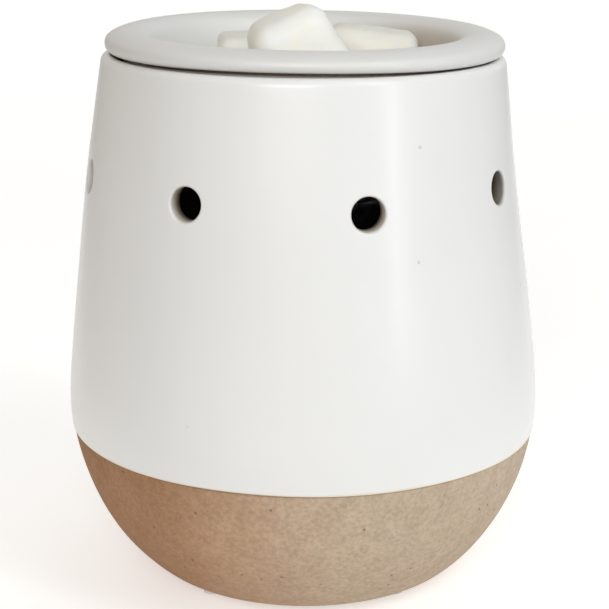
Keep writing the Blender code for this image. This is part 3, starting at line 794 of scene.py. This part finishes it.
FINISHES = (
    (SILICONE, ("foot_pad_front_left", "foot_pad_front_right", "foot_pad_back_left", "foot_pad_back_right")),
    (POWDER_COAT, ("base_plate", "lamp_bracket")),
    (ZINC, ("base_screw_left", "base_screw_right", "base_nut_left", "base_nut_right", "holder_screw_left")),
    (ZINC, ("holder_screw_right", "terminal_screw_left", "terminal_screw_right")),
    (BRASS, ("contact_left", "contact_right", "terminal_barrel_left", "terminal_barrel_right")),
    (RUBBER, ("cord_grommet",)),
    (STEATITE, ("lamp_holder", "bulb_base")),
    (NYLON, ("terminal_block",)),
    (SLEEVE, ("lead_left", "lead_right")),
    (NICKEL, ("bulb_pin_left", "bulb_pin_right", "bulb_filament")),
)


def soft_shading_group():
    """Geometry nodes that shade faces smooth and keep edges sharper than 35 degrees sharp."""
    group = bpy.data.node_groups.new("soft_shading", "GeometryNodeTree")
    group.interface.new_socket("Geometry", in_out="INPUT", socket_type="NodeSocketGeometry")
    group.interface.new_socket("Geometry", in_out="OUTPUT", socket_type="NodeSocketGeometry")
    start = group.nodes.new("NodeGroupInput")
    end = group.nodes.new("NodeGroupOutput")
    faces = group.nodes.new("GeometryNodeSetShadeSmooth")
    edges = group.nodes.new("GeometryNodeSetShadeSmooth")
    edges.domain = "EDGE"
    edges.inputs["Shade Smooth"].default_value = False
    angle = group.nodes.new("GeometryNodeInputMeshEdgeAngle")
    sharp = group.nodes.new("FunctionNodeCompare")
    sharp.inputs["B"].default_value = radians(35)
    group.links.new(angle.outputs["Unsigned Angle"], sharp.inputs["A"])
    group.links.new(start.outputs[0], faces.inputs["Geometry"])
    group.links.new(faces.outputs[0], edges.inputs["Geometry"])
    group.links.new(sharp.outputs[0], edges.inputs["Selection"])
    group.links.new(edges.outputs[0], end.inputs[0])
    return group


def finish_fittings():
    shading = soft_shading_group()
    for material, names in FINISHES:
        for name in names:
            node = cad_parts[name]
            node.data.materials.clear()
            node.data.materials.append(material)
            edge = node.modifiers.new("worn_edges", "BEVEL")
            edge.width = 0.12 * MM
            edge.segments = 2
            edge.limit_method = "ANGLE"
            edge.angle_limit = radians(50)
            smooth = node.modifiers.new("soft_shading", "NODES")
            smooth.node_group = shading


# ---------------------------------------------------------------- stage

def area_light(name, place, aim, width, height, power, tint):
    light = bpy.data.lights.new(name, "AREA")
    light.shape = "RECTANGLE"
    light.size = width
    light.size_y = height
    light.energy = power
    light.color = tint
    item = bpy.data.objects.new(name, light)
    bpy.context.scene.collection.objects.link(item)
    item.location = place
    item.rotation_euler = (Vector(aim) - Vector(place)).to_track_quat("-Z", "Y").to_euler()


def build_stage():
    floor_n = Nodes("pale_floor", 0.9)
    cloud = floor_n.span(floor_n.noise(3.0, 2.0), 0.3, 0.7)
    tone = floor_n.mix(cloud, (0.90, 0.90, 0.89), (0.915, 0.915, 0.91))
    # The floor is darker in front of the pot, so it bounces less light up onto the pot.
    tone = floor_n.mix(floor_n.span(floor_n.axis("Y"), -0.12, 0.0, 1.0, 0.0), tone, (0.58, 0.575, 0.56))
    # Painted light: the floor glows behind and beside the pot, lighting the pot and keeping the backdrop
    # white.
    floor_n.shader.inputs["Emission Color"].default_value = (1.0, 1.0, 1.0, 1.0)
    glow = floor_n.span(floor_n.axis("Y"), -0.14, -0.06, 0.02, 0.43)
    glow = floor_n.math("ADD", glow, floor_n.span(floor_n.axis("Y"), 0.15, 1.2, 0.0, 0.18))
    beside = floor_n.math("ABSOLUTE", floor_n.axis("X"))
    beside = floor_n.math("SUBTRACT", beside, floor_n.math("MULTIPLY", floor_n.axis("Y"), 0.2))
    glow = floor_n.math("MULTIPLY", glow, floor_n.span(beside, 0.13, 0.32, 1.0, 0.0))
    floor_n.feed(floor_n.shader.inputs["Emission Strength"], glow)
    floor_n.finish(tone, None, floor_n.bump(floor_n.noise(200.0, 2.0), 0.05, 0.0002))
    floor_mesh = mesh_from(
        "floor", [(-4.0, -3.0, 0.0), (4.0, -3.0, 0.0), (4.0, 6.0, 0.0), (-4.0, 6.0, 0.0)], [(0, 1, 2, 3)]
    )
    floor = new_object("floor", floor_mesh, floor_n.material, smooth=False)
    world = bpy.data.worlds.new("studio")
    bpy.context.scene.world = world
    world.use_nodes = True
    tree = world.node_tree
    back = tree.nodes["Background"]
    place = tree.nodes.new("ShaderNodeTexCoord")
    split = tree.nodes.new("ShaderNodeSeparateXYZ")
    tree.links.new(place.outputs["Generated"], split.inputs[0])

    def blended(axis, low, high, first, second):
        ramp = tree.nodes.new("ShaderNodeMapRange")
        blend = tree.nodes.new("ShaderNodeMix")
        blend.data_type = "RGBA"
        ramp.interpolation_type = "SMOOTHSTEP"
        ramp.inputs["From Min"].default_value = low
        ramp.inputs["From Max"].default_value = high
        tree.links.new(split.outputs[axis], ramp.inputs["Value"])
        tree.links.new(ramp.outputs["Result"], blend.inputs["Factor"])
        for socket, value in (("A", first), ("B", second)):
            if isinstance(value, tuple):
                blend.inputs[socket].default_value = colour(value)
            else:
                tree.links.new(value, blend.inputs[socket])
        return blend.outputs["Result"]

    sides = blended("X", -0.9, 0.5, (0.13, 0.08, 0.03), (0.36, 0.36, 0.36))
    far = blended("X", -0.7, 0.1, (0.62, 0.56, 0.46), (0.77, 0.77, 0.76))
    around = blended("Y", 0.05, 0.75, sides, far)
    tree.links.new(blended("Z", 0.45, 1.0, around, (0.38, 0.38, 0.37)), back.inputs["Color"])
    back.inputs["Strength"].default_value = 1.0
    area_light("key_strip", (0.97, -0.86, 0.62), (0.0, 0.0, 0.08), 0.15, 1.5, 4.4, (0.96, 0.99, 1.0))
    area_light("front_box", (-0.2, -1.45, 0.76), (0.0, 0.0, 0.08), 0.8, 0.8, 12.0, (0.99, 0.995, 1.0))
    area_light("right_box", (0.80, -0.72, 1.27), (0.0, 0.0, 0.08), 0.6, 0.6, 2.8, (0.99, 0.995, 1.0))


def build_camera():
    """Eye level slightly above the rim, looking down at the pot from about 0.43 m."""
    camera = bpy.data.cameras.new("camera")
    camera.sensor_width = 36.0
    camera.lens = 102.52
    camera.clip_start = 0.02
    item = bpy.data.objects.new("camera", camera)
    bpy.context.scene.collection.objects.link(item)
    item.location = (0.00037, -0.4287, 0.1886 + FOOT * MM)
    item.rotation_euler = (radians(90.0 - 15.69), 0.0, 0.0)
    bpy.context.scene.camera = item


def colour_management():
    view = bpy.context.scene.view_settings
    view.view_transform = "Standard"
    view.look = "None"
    view.exposure = 0.0
    view.gamma = 1.0


colour_management()
build_camera()
build_stage()
build_pot()
build_dish()
build_wax()
build_lamp()
finish_fittings()
